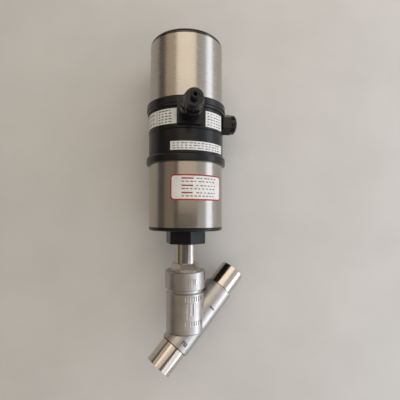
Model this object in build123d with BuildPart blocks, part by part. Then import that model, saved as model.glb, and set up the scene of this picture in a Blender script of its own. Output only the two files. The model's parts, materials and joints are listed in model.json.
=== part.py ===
from build123d import *
from math import cos, pi, radians, sin
import os

# Angle seat valve with a pneumatic piston actuator and a compact control head.
# Frame: origin where the stem axis meets the pipe axis, +Z up the stem towards the head,
# pipe axis in the XZ plane at 45 degrees, port 1 towards +X +Z. Millimetres.

# ---------------------------------------------------------------- driving sizes
run_fit = 0.05           # radial clearance of a sliding or turning fit
seat_fit = 0.05          # radial clearance of parts that stay put on each other
free_gap = 0.3           # gap between curved faces that only pass each other
pipe_angle = 45.0        # stem to pipe

# pipe run and weld ends
tube_od = 23.0
tube_wall = 1.5
lower_reach = 35.0       # crossing to the port 2 end
face_to_face = 105.0
cast_lower = 14.0        # crossing to the cast shoulder, port 2 side
cast_upper = 49.0        # crossing to the cast shoulder, port 1 side
run_od = 26.0
cast_relief = 0.5        # how much wider the cast passages are than the tubes
weld_groove = 0.6        # depth of the groove at the tube joint

# cast body
neck_r = 16.5
foot_z = 2.0
neck_top = 35.4
groove_r = 15.4
collar_r = 17.6
collar_z = 39.0
collar_top = 54.0
foot_round = 1.4
seat_z = 8.0             # floor of the upper chamber
seat_land = 1.5          # height of the raised seat ring
seat_bore = 17.6
seat_width = 1.6
chamber_r = 12.8
inlet_floor = -4.0
rib_from = 12.0
rib_to = 41.0
rib_height = 1.3
rib_width = 4.0

# bonnet
spindle_d = 8.0
nipple_thread_r = 13.5
nipple_floor = 40.0
nipple_hex_af = 21.0
nipple_hex_z = 54.4
nipple_top = 60.3
tube_seat_z = 48.0
bonnet_r = 9.0
bonnet_bore_r = 6.4
bonnet_step_z = 80.0
bonnet_step = 1.0
bonnet_top = 97.5
nipple_turn = 44.0       # angle of a hexagon corner about the stem
gasket_t = 1.5
ring_section = 2.0       # height of the packing support and pressure rings
packing_spring_h = 9.0
vee_h = 2.2
vee_count = 4
guide_len = 13.0
wiper_h = 3.0

# actuator
sleeve_od = 64.5
sleeve_wall = 1.0
hexagon_af = 31.0
hexagon_bottom = 77.3
hexagon_turn = 18.0
rim_bottom = 89.0
sleeve_bottom = 92.1
base_floor_top = 94.4
base_spigot_top = 97.4
base_spigot_wall = 4.0
cover_flange_r = 34.9
cover_flange_z = 145.6
cover_flange_h = 4.6
cover_slope_top = 152.6
cover_r = 32.85
cover_spigot_h = 4.0
sleeve_top = 149.6
cover_floor_z = 148.0
cover_floor_t = 5.5
joint_z = 172.0          # parting line between actuator and head
cup_r = 29.4             # bore of the cup above the cover floor
o_ring = 1.8             # section of the O-rings

# moving train
stroke = 8.0             # travel of the stem between its stops
piston_z = 98.6
piston_web = 4.6
piston_h = 10.0
piston_gap = 0.35
skirt_t = 5.5
hub_r = 8.0
hub_h = 12.0
stud_d = 6.0
nut_af = 10.0
nut_h = 5.0
seal_h = 3.0
guide_h = 2.4
groove_depth = 2.0
outer_wire = 3.5
outer_coil_r = 22.0
outer_turns = 5.0
inner_wire = 2.4
inner_coil_r = 14.0
inner_turns = 6.0
rod_d = 5.0
rod_top = 216.0
target_h = 8.0
target_r = 2.9
plug_r = 11.6
plug_h = 6.0
plug_hub_r = 6.6
plug_hub_h = 8.5
pin_d = 2.5
retainer_drop = 1.2      # how far the retainer reaches into the seat bore
retainer_slope = 1.0
retainer_step = 1.6

# control head
head_band_r = 33.0
head_step_z = 189.6
head_step_r = 34.2
head_ring_z = 192.2
head_ring_r = 34.9
head_ring_top = 198.3
ring_round = 1.4
shell_od = 64.5
shell_wall = 0.8
shell_seat_z = 194.0
shell_top = 250.6
cap_r = 32.0
cap_h = 2.8
cap_round = 2.2
cap_wall = 2.6
cap_skin = 2.0           # thickness of the cap's crown
cap_spigot_h = 6.0
head_floor_z = 167.0
head_floor_t = 3.0
head_wall = 3.4
ledge_h = 3.0
port_z = 185.0           # height of the gland and fitting axes
gland_dir = -111.0       # direction of the gland about the stem
supply_dir = -21.0
exhaust_dir = 30.0
pad_width = 21.0
pad_z = 174.5
pad_h = 21.5
pad_r = 35.4
pad_corner = 1.5
turret_d = 17.0
turret_r = 50.0
turret_round = 0.8
gland_bore_r = 5.2
gland_hex_af = 15.0
gland_hex_w = 3.6
gland_root = 10.0        # how far the gland reaches into the turret
nut_gap = 0.8            # bare thread between the gland hexagon and its nut
nut_od = 16.0
nut_skirt = 3.6          # ribbed length at full diameter
nut_rim_d = 13.2
nut_len = 10.6
nut_lid = 2.4
nut_recess = 0.8
nut_ribs = 18
rib_groove_r = 1.0
insert_r = 4.2           # the clamped part of the gland's insert
insert_len = 6.6
insert_nose_r = 2.6
insert_nose_out = 5.0    # how far the insert's nose stands out of the nut
cable_hole_r = 1.5
fitting_ac = 19.0
fitting_root = 32.6
fitting_hex_end = 40.0
fitting_tip = 44.9
fitting_thread_r = 6.4
fitting_collar_d = 17.2
fitting_bevel = 1.6
hexagon_gap = 0.4        # left round each fitting's hexagon in its recess
hose_od = 6.0
collet_r = 4.6
collet_out = 0.9
collet_travel = 0.8
collet_depth = 9.0       # how far the fitting is counterbored for the collet
collet_end_gap = 0.4     # left behind the collet when it is pressed in
exhaust_hex_w = 3.2
silencer_r = 5.6
silencer_len = 6.0       # length outside the fitting
silencer_root = 6.0
silencer_round = 1.5
chassis_t = 2.4
chassis_gap = 0.25       # chassis rim to shell
chassis_slot_w = 18.0
chassis_slot_d = 7.0
mast_w = 40.0
mast_t = 2.4
mast_y = 12.0
mast_h = 42.0
board_t = 1.6
board_gap = 2.0          # margin of the board on its mast, all round
block_w = 26.0
block_d = 8.0
block_h = 10.0
block_rise = 16.0        # above the foot of the board
slot_count = 5
slot_pitch = 5.0
slot_w = 3.4
slot_l = 4.0
slot_depth = 6.0
sensor_r = 8.0
sensor_lid = 2.0
sensor_reserve = 2.4     # between the target at full stroke and the sensor's lid
sensor_round = 1.0
pilot_w = 17.0
pilot_d = 15.0
pilot_h = 15.0
pilot_x = -16.5
coil_r = 7.2
coil_h = 17.0
armature_r = 2.5
armature_seat = 4.0       # blind hole in the pilot valve under the armature
armature_travel = 0.6
armature_gap = 0.1
override_r = 2.2
override_rise = 5.5       # above the chassis
override_hole = 5.0
override_len = 5.8
override_out = 1.0       # how far the override stands out of the pilot valve
override_slot = 0.8
override_slot_depth = 0.6
coil_lid = 2.0
screw_r = 1.9
screw_h = 2.0
screw_x = 5.5
screw_y = 5.0
guide_ring_w = 3.0
guide_ring_gap = 1.0
guide_ring_out = 0.5     # how far the light guide reaches above the shell's edge
guide_ring_low = 1.5     # how far it hangs below the cap's spigot
guide_foot_w = 4.0

# ---------------------------------------------------------------- derived sizes
tube_r = tube_od / 2
flow_r = tube_r - tube_wall
run_r = run_od / 2
upper_reach = face_to_face - lower_reach
spindle_r = spindle_d / 2
sleeve_r = sleeve_od / 2
sleeve_bore_r = sleeve_r - sleeve_wall
spigot_r = sleeve_bore_r - seat_fit
shell_r = shell_od / 2
shell_bore_r = shell_r - shell_wall
rod_r = rod_d / 2
stud_r = stud_d / 2
seat_top = seat_z + seat_land
seat_r = seat_bore / 2
journal_r = bonnet_r - bonnet_step
o_r = o_ring / 2
bevel = 0.4

pipe_dir = Vector(sin(radians(pipe_angle)), 0, cos(radians(pipe_angle)))


def along_pipe(reach):
    """Plane square to the pipe axis, facing port 1, at a reach from the crossing."""
    return Plane(origin=pipe_dir * reach, x_dir=(0, 1, 0), z_dir=pipe_dir)


def radial(angle, reach, height=port_z):
    """Plane square to a direction about the stem, facing outwards, its local Y up."""
    out = Vector(cos(radians(angle)), sin(radians(angle)), 0)
    side = Vector(-out.Y, out.X, 0)
    return Plane(origin=out * reach + Vector(0, 0, height), x_dir=side, z_dir=out)


def head_plane(height):
    """Level plane in the head, local X towards the supply fitting, local -Y to the gland."""
    side = (cos(radians(supply_dir)), sin(radians(supply_dir)), 0)
    return Plane(origin=(0, 0, height), x_dir=side, z_dir=(0, 0, 1))


def hex_r(across_flats):
    return across_flats / 2 / cos(pi / 6)


# ---------------------------------------------------------------- cast body
with BuildPart() as valve_body:
    with BuildSketch(along_pipe(-cast_lower)):
        Circle(run_r)
    extrude(amount=cast_lower + cast_upper)
    with BuildSketch(Plane.XZ):
        with BuildLine():
            Polyline(
                (0, foot_z),
                (neck_r, foot_z),
                (neck_r, neck_top),
                (groove_r, neck_top + neck_r - groove_r),
                (groove_r, collar_z - bevel),
                (collar_r - bevel, collar_z),
                (collar_r, collar_z + bevel),
                (collar_r, collar_top - bevel),
                (collar_r - bevel, collar_top),
                (0, collar_top),
                close=True,
            )
        make_face()
    revolve(axis=Axis.Z)
    foot_edges = valve_body.edges().filter_by(GeomType.CIRCLE).filter_by(
        lambda e: abs(e.radius - neck_r) < 0.01 and abs(e.center().Z - foot_z) < 0.5
    )
    fillet(foot_edges, foot_round)
    # casting rib along the belly of the run, in the plane of the two axes
    with BuildSketch(Plane.XZ):
        with BuildLine():
            belly = Vector(cos(radians(pipe_angle)), -sin(radians(pipe_angle)))
            flow = Vector(sin(radians(pipe_angle)), cos(radians(pipe_angle)))
            crest = run_r + rib_height
            Polyline(
                flow * rib_from + belly * (run_r - 2 * rib_height),
                flow * rib_from + belly * crest,
                flow * (rib_to - rib_height * 4) + belly * crest,
                flow * rib_to + belly * (run_r - 2 * rib_height),
                close=True,
            )
        make_face()
    extrude(amount=rib_width / 2, both=True)
    # machined shoulders where the weld tubes sit
    for reach in (-cast_lower, cast_upper):
        with BuildSketch(along_pipe(reach)):
            Circle(run_r + 1)
            Circle(run_r - bevel, mode=Mode.SUBTRACT)
        extrude(amount=weld_groove / 2, both=True, mode=Mode.SUBTRACT)
    # inlet passage and elbow under the seat
    with BuildSketch(along_pipe(-cast_lower)):
        Circle(flow_r + cast_relief)
    extrude(amount=cast_lower + inlet_floor, mode=Mode.SUBTRACT)
    with BuildSketch(Plane.XY.offset(inlet_floor)):
        Circle(seat_r)
    extrude(amount=seat_top - inlet_floor, mode=Mode.SUBTRACT)
    # upper chamber, leaving the seat ring standing on its floor
    with BuildSketch(Plane.XY.offset(seat_z)):
        Circle(chamber_r)
        Circle(seat_r + seat_width, mode=Mode.SUBTRACT)
    extrude(amount=seat_land, mode=Mode.SUBTRACT)
    with BuildSketch(Plane.XY.offset(seat_top)):
        Circle(chamber_r)
    extrude(amount=nipple_floor - seat_top, mode=Mode.SUBTRACT)
    # outlet passage, which ends short of the wall beside the seat
    with BuildSketch(along_pipe(cast_lower)):
        Circle(flow_r + cast_relief)
    extrude(amount=cast_upper - cast_lower, mode=Mode.SUBTRACT)
    # thread for the bonnet nipple, with a gasket step at its foot
    with BuildSketch(Plane.XY.offset(nipple_floor - gasket_t)):
        Circle(nipple_thread_r + seat_fit)
    extrude(amount=collar_top - nipple_floor + gasket_t, mode=Mode.SUBTRACT)

for_tubes = (
    ("weld_tube_lower", -lower_reach, -cast_lower),
    ("weld_tube_upper", cast_upper, upper_reach),
)
weld_tubes = {}
for tube_name, reach_from, reach_to in for_tubes:
    with BuildPart() as weld_tube:
        with BuildSketch(along_pipe(reach_from)):
            Circle(tube_r)
            Circle(flow_r, mode=Mode.SUBTRACT)
        extrude(amount=reach_to - reach_from)
    weld_tubes[tube_name] = weld_tube

# ---------------------------------------------------------------- bonnet
with BuildPart() as body_gasket:
    with BuildSketch(Plane.XY.offset(nipple_floor - gasket_t)):
        Circle(nipple_thread_r)
        Circle(chamber_r, mode=Mode.SUBTRACT)
    extrude(amount=gasket_t)

with BuildPart() as bonnet_nipple:
    with BuildSketch(Plane.XY.offset(nipple_floor)):
        Circle(nipple_thread_r)
    extrude(amount=nipple_hex_z - nipple_floor)
    with BuildSketch(Plane.XY.offset(nipple_hex_z)):
        RegularPolygon(hex_r(nipple_hex_af), 6, rotation=nipple_turn)
    extrude(amount=nipple_top - nipple_hex_z)
    with BuildSketch(Plane.XZ):
        with BuildLine():
            corner_r = hex_r(nipple_hex_af)
            Polyline(
                (0, nipple_floor),
                (corner_r * 2, nipple_floor),
                (corner_r * 2, nipple_hex_z),
                (corner_r, nipple_hex_z),
                (corner_r, nipple_top - bevel),
                (nipple_hex_af / 2, nipple_top),
                (0, nipple_top),
                close=True,
            )
        make_face()
    revolve(axis=Axis.Z, mode=Mode.INTERSECT)
    with BuildSketch(Plane.XY.offset(nipple_floor)):
        Circle(spindle_r + free_gap)
    extrude(amount=tube_seat_z - nipple_floor, mode=Mode.SUBTRACT)
    with BuildSketch(Plane.XY.offset(tube_seat_z)):
        Circle(bonnet_r + seat_fit)
    extrude(amount=nipple_top - tube_seat_z, mode=Mode.SUBTRACT)

clip_h = 1.2
clip_z = base_floor_top
with BuildPart() as bonnet_tube:
    with BuildSketch(Plane.XZ):
        with BuildLine():
            Polyline(
                (bonnet_bore_r, tube_seat_z),
                (bonnet_r, tube_seat_z),
                (bonnet_r, bonnet_step_z),
                (journal_r, bonnet_step_z),
                (journal_r, clip_z),
                (journal_r - bonnet_step / 2, clip_z),
                (journal_r - bonnet_step / 2, clip_z + clip_h),
                (journal_r, clip_z + clip_h),
                (journal_r, bonnet_top),
                (bonnet_bore_r, bonnet_top),
                close=True,
            )
        make_face()
    revolve(axis=Axis.Z)

with BuildPart() as tube_circlip:
    with BuildSketch(Plane.XY.offset(clip_z)):
        Circle(journal_r + 1.6)
        Circle(journal_r - bonnet_step / 2, mode=Mode.SUBTRACT)
        with Locations((journal_r, 0)):
            Rectangle(4, 3.2, mode=Mode.SUBTRACT)
    extrude(amount=clip_h)

packing_out_r = bonnet_bore_r - seat_fit
packing_in_r = spindle_r + run_fit
support_z = tube_seat_z
spring_z = support_z + ring_section
pressure_z = spring_z + packing_spring_h
vee_z = pressure_z + ring_section
guide_z = vee_z + vee_count * vee_h
wiper_z = guide_z + guide_len
slope = 0.5

with BuildPart() as support_ring:
    with BuildSketch(Plane.XY.offset(support_z)):
        Circle(packing_out_r)
        Circle(packing_in_r + free_gap, mode=Mode.SUBTRACT)
    extrude(amount=ring_section)

packing_wire = 0.9
packing_coil_r = (packing_out_r + packing_in_r) / 2
with BuildPart() as packing_spring:
    with BuildLine() as packing_path:
        Helix(
            pitch=(packing_spring_h - packing_wire) / 3,
            height=packing_spring_h - packing_wire,
            radius=packing_coil_r,
            center=(0, 0, spring_z + packing_wire / 2),
        )
    with BuildSketch(Plane(origin=packing_path.line @ 0, z_dir=packing_path.line % 0)):
        RegularPolygon(packing_wire / 2, 6)
    sweep(path=packing_path.line, is_frenet=True)

with BuildPart() as pressure_ring:
    with BuildSketch(Plane.XZ):
        with BuildLine():
            Polyline(
                (packing_in_r + free_gap, pressure_z),
                (packing_out_r, pressure_z),
                (packing_out_r, vee_z),
                (packing_coil_r, vee_z + slope),
                (packing_in_r + free_gap, vee_z),
                close=True,
            )
        make_face()
    revolve(axis=Axis.Z)

with BuildPart() as packing_rings:
    for ring in range(vee_count):
        low = vee_z + ring * vee_h
        high = low + vee_h
        with BuildSketch(Plane.XZ):
            with BuildLine():
                Polyline(
                    (packing_in_r, low),
                    (packing_coil_r, low + slope),
                    (packing_out_r, low),
                    (packing_out_r, high - 0.1),
                    (packing_coil_r, high + slope - 0.1),
                    (packing_in_r, high - 0.1),
                    close=True,
                )
            make_face()
        revolve(axis=Axis.Z)

with BuildPart() as spindle_guide:
    with BuildSketch(Plane.XZ):
        with BuildLine():
            Polyline(
                (packing_in_r, guide_z),
                (packing_coil_r, guide_z + slope),
                (packing_out_r, guide_z),
                (packing_out_r, wiper_z),
                (packing_in_r, wiper_z),
                close=True,
            )
        make_face()
    revolve(axis=Axis.Z)

with BuildPart() as spindle_wiper:
    with BuildSketch(Plane.XZ):
        with BuildLine():
            Polyline(
                (packing_in_r, wiper_z + wiper_h),
                (packing_in_r + slope, wiper_z),
                (packing_out_r, wiper_z),
                (packing_out_r, wiper_z + wiper_h - slope),
                (packing_in_r + slope, wiper_z + wiper_h),
                close=True,
            )
        make_face()
    revolve(axis=Axis.Z)

# ---------------------------------------------------------------- spindle and plug
spindle_foot = seat_top + plug_h - 1.0
with BuildPart() as spindle:
    with BuildSketch(Plane.XZ):
        with BuildLine():
            Polyline(
                (0, spindle_foot),
                (spindle_r - bevel, spindle_foot),
                (spindle_r, spindle_foot + bevel),
                (spindle_r, piston_z),
                (stud_r, piston_z),
                (stud_r, piston_z + hub_h + nut_h),
                (0, piston_z + hub_h + nut_h),
                close=True,
            )
        make_face()
    revolve(axis=Axis.Z)
    # control air runs down the stud and out into the chamber under the piston
    air_r = 1.0
    air_z = piston_z - 1.4
    with BuildSketch(Plane.XY.offset(air_z)):
        Circle(air_r)
    extrude(amount=hub_h + nut_h + 2, mode=Mode.SUBTRACT)
    with BuildSketch(Plane.YZ.offset(-spindle_r - 1)):
        with Locations((0, air_z)):
            Circle(air_r * 0.8)
    extrude(amount=2 * spindle_r + 2, mode=Mode.SUBTRACT)
    with BuildSketch(Plane.XZ.offset(-spindle_r - 1)):
        with Locations((0, seat_top + plug_h + plug_hub_h / 2)):
            Circle(pin_d / 2 + seat_fit)
    extrude(amount=2 * spindle_r + 2, mode=Mode.SUBTRACT)

seal_in_r = seat_r - 0.5
seal_out_r = seat_r + seat_width + 0.6
plate_z = seat_top + 0.5
seat_seal_h = 2.6
boss_r = seal_in_r - 1
boss_z = plate_z + 2.2
with BuildPart() as plug_plate:
    with BuildSketch(Plane.XZ):
        with BuildLine():
            Polyline(
                (0, boss_z),
                (boss_r, boss_z),
                (boss_r, seat_top + seat_seal_h),
                (seal_out_r + seat_fit, seat_top + seat_seal_h),
                (seal_out_r + seat_fit, plate_z),
                (plug_r, plate_z),
                (plug_r, seat_top + plug_h - 1),
                (plug_r - 1, seat_top + plug_h),
                (plug_hub_r, seat_top + plug_h),
                (plug_hub_r, seat_top + plug_h + plug_hub_h - bevel),
                (plug_hub_r - bevel, seat_top + plug_h + plug_hub_h),
                (0, seat_top + plug_h + plug_hub_h),
                close=True,
            )
        make_face()
    revolve(axis=Axis.Z)
    with BuildSketch(Plane.XY.offset(spindle_foot)):
        Circle(spindle_r + seat_fit)
    extrude(amount=plug_hub_h + 2, mode=Mode.SUBTRACT)
    with BuildSketch(Plane.XZ.offset(-plug_hub_r - 1)):
        with Locations((0, seat_top + plug_h + plug_hub_h / 2)):
            Circle(pin_d / 2 + seat_fit)
    extrude(amount=2 * plug_hub_r + 2, mode=Mode.SUBTRACT)

with BuildPart() as seat_seal:
    with BuildSketch(Plane.XY.offset(seat_top)):
        Circle(seal_out_r)
        Circle(seal_in_r, mode=Mode.SUBTRACT)
    extrude(amount=seat_seal_h)

with BuildPart() as seal_retainer:
    with BuildSketch(Plane.XZ):
        with BuildLine():
            Polyline(
                (0, seat_top - retainer_drop),
                (seal_in_r - 2 * retainer_slope, seat_top - retainer_drop),
                (seal_in_r - seat_fit, seat_top - retainer_drop + retainer_slope),
                (seal_in_r - seat_fit, seat_top + retainer_step),
                (boss_r - seat_fit, seat_top + retainer_step),
                (boss_r - seat_fit, boss_z),
                (0, boss_z),
                close=True,
            )
        make_face()
    revolve(axis=Axis.Z)

with BuildPart() as plug_pin:
    with BuildSketch(Plane.XZ.offset(-plug_hub_r)):
        with Locations((0, seat_top + plug_h + plug_hub_h / 2)):
            Circle(pin_d / 2)
    extrude(amount=2 * plug_hub_r)

# ---------------------------------------------------------------- piston
piston_r = sleeve_bore_r - piston_gap
groove_floor_r = piston_r - groove_depth
seal_groove_z = piston_z + 1.2
guide_groove_z = piston_z + piston_h - guide_h - 1.0
with BuildPart() as piston:
    with BuildSketch(Plane.XZ):
        with BuildLine():
            Polyline(
                (stud_r + seat_fit, piston_z),
                (piston_r, piston_z),
                (piston_r, seal_groove_z),
                (groove_floor_r, seal_groove_z),
                (groove_floor_r, seal_groove_z + seal_h),
                (piston_r, seal_groove_z + seal_h),
                (piston_r, guide_groove_z),
                (groove_floor_r, guide_groove_z),
                (groove_floor_r, guide_groove_z + guide_h),
                (piston_r, guide_groove_z + guide_h),
                (piston_r, piston_z + piston_h),
                (piston_r - skirt_t + 1, piston_z + piston_h),
                (piston_r - skirt_t, piston_z + piston_web),
                (hub_r, piston_z + piston_web),
                (hub_r, piston_z + hub_h),
                (stud_r + seat_fit, piston_z + hub_h),
                close=True,
            )
        make_face()
    revolve(axis=Axis.Z)

lip_r = sleeve_bore_r - run_fit
with BuildPart() as piston_seal:
    with BuildSketch(Plane.XZ):
        with BuildLine():
            low = seal_groove_z + 0.1
            high = seal_groove_z + seal_h - 0.1
            Polyline(
                (groove_floor_r + seat_fit, low),
                (lip_r, low),
                (piston_r - 0.5, high),
                (groove_floor_r + seat_fit, high),
                close=True,
            )
        make_face()
    revolve(axis=Axis.Z)

with BuildPart() as piston_guide_ring:
    with BuildSketch(Plane.XY.offset(guide_groove_z + 0.05)):
        Circle(lip_r)
        Circle(groove_floor_r + seat_fit, mode=Mode.SUBTRACT)
    extrude(amount=guide_h - 0.1)

with BuildPart() as piston_nut:
    with BuildSketch(Plane.XY.offset(piston_z + hub_h)):
        RegularPolygon(hex_r(nut_af), 6)
        Circle(stud_r + seat_fit, mode=Mode.SUBTRACT)
    extrude(amount=nut_h)

rod_foot = piston_z + hub_h + nut_h
with BuildPart() as position_rod:
    with BuildSketch(Plane.XY.offset(rod_foot)):
        Circle(rod_r)
    extrude(amount=rod_top - rod_foot)
    with BuildSketch(Plane.XY.offset(rod_foot)):
        Circle(air_r)
    extrude(amount=joint_z - rod_foot, mode=Mode.SUBTRACT)
    with BuildSketch(Plane.YZ.offset(-rod_r - 1)):
        with Locations((0, joint_z - 6)):
            Circle(air_r * 0.8)
    extrude(amount=2 * rod_r + 2, mode=Mode.SUBTRACT)

with BuildPart() as sensor_target:
    with BuildSketch(Plane.XY.offset(rod_top)):
        Circle(target_r)
    extrude(amount=target_h)
    chamfer(sensor_target.edges().group_by(Axis.Z)[-1], bevel)

# ---------------------------------------------------------------- actuator
with BuildPart() as actuator_base:
    with BuildSketch(Plane.XZ):
        with BuildLine():
            Polyline(
                (0, rim_bottom),
                (sleeve_r, rim_bottom),
                (sleeve_r, sleeve_bottom),
                (spigot_r, sleeve_bottom),
                (spigot_r, base_spigot_top),
                (spigot_r - base_spigot_wall, base_spigot_top),
                (spigot_r - base_spigot_wall - 1, base_floor_top),
                (0, base_floor_top),
                close=True,
            )
        make_face()
    revolve(axis=Axis.Z)
    fillet(actuator_base.edges().group_by(Axis.Z)[0], 1.4)
    with BuildSketch(Plane.XY.offset(hexagon_bottom)):
        RegularPolygon(hex_r(hexagon_af), 6, rotation=hexagon_turn)
    extrude(amount=rim_bottom - hexagon_bottom + 1)
    with BuildSketch(Plane.XY.offset(hexagon_bottom)):
        Circle(bonnet_r + run_fit)
    extrude(amount=bonnet_step_z - hexagon_bottom, mode=Mode.SUBTRACT)
    with BuildSketch(Plane.XY.offset(bonnet_step_z)):
        Circle(journal_r + run_fit)
    extrude(amount=base_floor_top - bonnet_step_z, mode=Mode.SUBTRACT)
    # grooves for the swivel O-ring and the sleeve O-ring
    with BuildSketch(Plane.XY.offset(rim_bottom - o_ring)):
        Circle(journal_r + run_fit + o_ring)
        Circle(journal_r + run_fit / 2, mode=Mode.SUBTRACT)
    extrude(amount=o_ring + 0.4, mode=Mode.SUBTRACT)
    with BuildSketch(Plane.XY.offset(base_spigot_top - o_ring - 1.2)):
        Circle(spigot_r + 1)
        Circle(spigot_r - o_ring, mode=Mode.SUBTRACT)
    extrude(amount=o_ring + 0.4, mode=Mode.SUBTRACT)
    # wrench hexagon: ease its lower corners
    hex_edges = actuator_base.edges().filter_by(Plane.XY).group_by(Axis.Z)[0]
    chamfer(hex_edges.filter_by(GeomType.LINE), 0.5)

with BuildPart() as swivel_o_ring:
    with BuildSketch(Plane.XZ):
        with Locations((journal_r + run_fit + o_r, rim_bottom - o_r + 0.2)):
            RegularPolygon(o_r, 8, major_radius=True)
    revolve(axis=Axis.Z)

with BuildPart() as sleeve_o_ring_lower:
    with BuildSketch(Plane.XZ):
        with Locations((spigot_r - o_r, base_spigot_top - o_r - 1.0)):
            RegularPolygon(o_r, 8)
    revolve(axis=Axis.Z)

with BuildPart() as actuator_sleeve:
    with BuildSketch(Plane.XY.offset(sleeve_bottom)):
        Circle(sleeve_r)
        Circle(sleeve_bore_r, mode=Mode.SUBTRACT)
    extrude(amount=sleeve_top - sleeve_bottom)

cover_spigot_z = sleeve_top - cover_spigot_h - 2.0
cover_floor_top = cover_floor_z + cover_floor_t
with BuildPart() as actuator_cover:
    with BuildSketch(Plane.XZ):
        with BuildLine():
            outline = Polyline(
                (sleeve_r + seat_fit, sleeve_top),
                (sleeve_r + seat_fit, cover_flange_z),
                (cover_flange_r - bevel, cover_flange_z),
                (cover_flange_r, cover_flange_z + bevel),
                (cover_flange_r, cover_flange_z + cover_flange_h),
            )
            shoulder = TangentArc(
                outline @ 1, (cover_r, cover_slope_top), tangent=(0, 1)
            )
            Polyline(
                shoulder @ 1,
                (cover_r, joint_z - bevel),
                (cover_r - bevel, joint_z),
                (cup_r, joint_z),
                (cup_r, cover_floor_top),
                (rod_r + run_fit, cover_floor_top),
                (rod_r + run_fit, cover_floor_z - 3),
                (rod_r + 4, cover_floor_z - 3),
                (rod_r + 5, cover_floor_z),
                (spigot_r - 3, cover_floor_z),
                (spigot_r - 3, cover_spigot_z),
                (spigot_r, cover_spigot_z),
                (spigot_r, sleeve_top),
                (sleeve_r + seat_fit, sleeve_top),
            )
        make_face()
    revolve(axis=Axis.Z)
    with BuildSketch(Plane.XY.offset(cover_spigot_z + 1)):
        Circle(spigot_r + 1)
        Circle(spigot_r - o_ring, mode=Mode.SUBTRACT)
    extrude(amount=o_ring + 0.4, mode=Mode.SUBTRACT)

with BuildPart() as sleeve_o_ring_upper:
    with BuildSketch(Plane.XZ):
        with Locations((spigot_r - o_r, cover_spigot_z + 1.2 + o_r)):
            RegularPolygon(o_r, 8)
    revolve(axis=Axis.Z)


def coil_spring(wire, coil_r, turns, low, high):
    """Helical compression spring between two levels, its wire drawn as an octagon."""
    rise = high - low - wire
    with BuildPart() as spring:
        with BuildLine() as path:
            Helix(pitch=rise / turns, height=rise, radius=coil_r, center=(0, 0, low + wire / 2))
        with BuildSketch(Plane(origin=path.line @ 0, z_dir=path.line % 0)):
            RegularPolygon(wire / 2, 8)
        sweep(path=path.line, is_frenet=True)
    return spring


spring_low = piston_z + piston_web + 0.1
spring_high = cover_floor_z - 0.1
closing_spring_outer = coil_spring(outer_wire, outer_coil_r, outer_turns, spring_low, spring_high)
closing_spring_inner = coil_spring(inner_wire, inner_coil_r, inner_turns, spring_low, spring_high)

# ---------------------------------------------------------------- control head base
bore_r = head_band_r - head_wall
with BuildPart() as head_base:
    with BuildSketch(Plane.XZ):
        with BuildLine():
            lower = Polyline(
                (0, head_floor_z),
                (cup_r - seat_fit, head_floor_z),
                (cup_r - seat_fit, joint_z),
                (head_band_r - bevel, joint_z),
                (head_band_r, joint_z + bevel),
                (head_band_r, head_step_z),
                (head_step_r, head_step_z + bevel),
                (head_step_r, head_ring_z),
                (head_ring_r, head_ring_z + bevel),
                (head_ring_r, head_ring_top - ring_round),
            )
            ring_edge = TangentArc(
                lower @ 1, (head_ring_r - ring_round, head_ring_top), tangent=(0, 1)
            )
            Polyline(
                ring_edge @ 1,
                (shell_r + seat_fit, head_ring_top),
                (shell_r + seat_fit, shell_seat_z),
                (bore_r, shell_seat_z),
                (bore_r, joint_z + ledge_h),
                (cup_r - head_wall, joint_z + ledge_h),
                (cup_r - head_wall, head_floor_z + head_floor_t),
                (0, head_floor_z + head_floor_t),
                (0, head_floor_z),
            )
        make_face()
    revolve(axis=Axis.Z)
    # flat pad and round turret that carry the cable gland
    with BuildSketch(radial(gland_dir, bore_r + 1, pad_z + pad_h / 2)):
        RectangleRounded(pad_width, pad_h, pad_corner)
    extrude(amount=pad_r - bore_r - 1)
    with BuildSketch(radial(gland_dir, bore_r + 1)):
        Circle(turret_d / 2)
    extrude(amount=turret_r - bore_r - 1)
    # the shell's seat stays clear of the pad and turret
    with BuildSketch(Plane.XY.offset(shell_seat_z)):
        Circle(shell_r + seat_fit)
    extrude(amount=head_ring_top - shell_seat_z, mode=Mode.SUBTRACT)
    turret_rim = head_base.edges().filter_by(GeomType.CIRCLE).filter_by(
        lambda e: abs(e.radius - turret_d / 2) < 0.01
    ).sort_by_distance((0, 0, port_z))[-1]
    fillet(turret_rim, turret_round)
    with BuildSketch(radial(gland_dir, bore_r - head_wall)):
        Circle(gland_bore_r + seat_fit)
    extrude(amount=turret_r - bore_r + head_wall, mode=Mode.SUBTRACT)
    # flat spot faces and threads for the two air fittings
    for direction in (supply_dir, exhaust_dir):
        with BuildSketch(radial(direction, fitting_root)):
            Circle(fitting_ac / 2 + hexagon_gap)
        extrude(amount=head_wall, mode=Mode.SUBTRACT)
        with BuildSketch(radial(direction, bore_r - head_wall)):
            Circle(fitting_thread_r + seat_fit)
        extrude(amount=head_wall * 2, mode=Mode.SUBTRACT)
    # passage for the position rod
    with BuildSketch(Plane.XY.offset(head_floor_z)):
        Circle(rod_r + free_gap)
    extrude(amount=head_floor_t, mode=Mode.SUBTRACT)
    # seal groove on the spigot
    with BuildSketch(Plane.XY.offset(head_floor_z + 1)):
        Circle(cup_r + 1)
        Circle(cup_r - seat_fit - o_ring, mode=Mode.SUBTRACT)
    extrude(amount=o_ring + 0.4, mode=Mode.SUBTRACT)

with BuildPart() as head_o_ring:
    with BuildSketch(Plane.XZ):
        with Locations((cup_r - seat_fit - o_r, head_floor_z + 1.2 + o_r)):
            RegularPolygon(o_r, 8)
    revolve(axis=Axis.Z)

# ---------------------------------------------------------------- head shell and cap
with BuildPart() as head_shell:
    with BuildSketch(Plane.XY.offset(shell_seat_z)):
        Circle(shell_r)
        Circle(shell_bore_r, mode=Mode.SUBTRACT)
    extrude(amount=shell_top - shell_seat_z)

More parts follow.
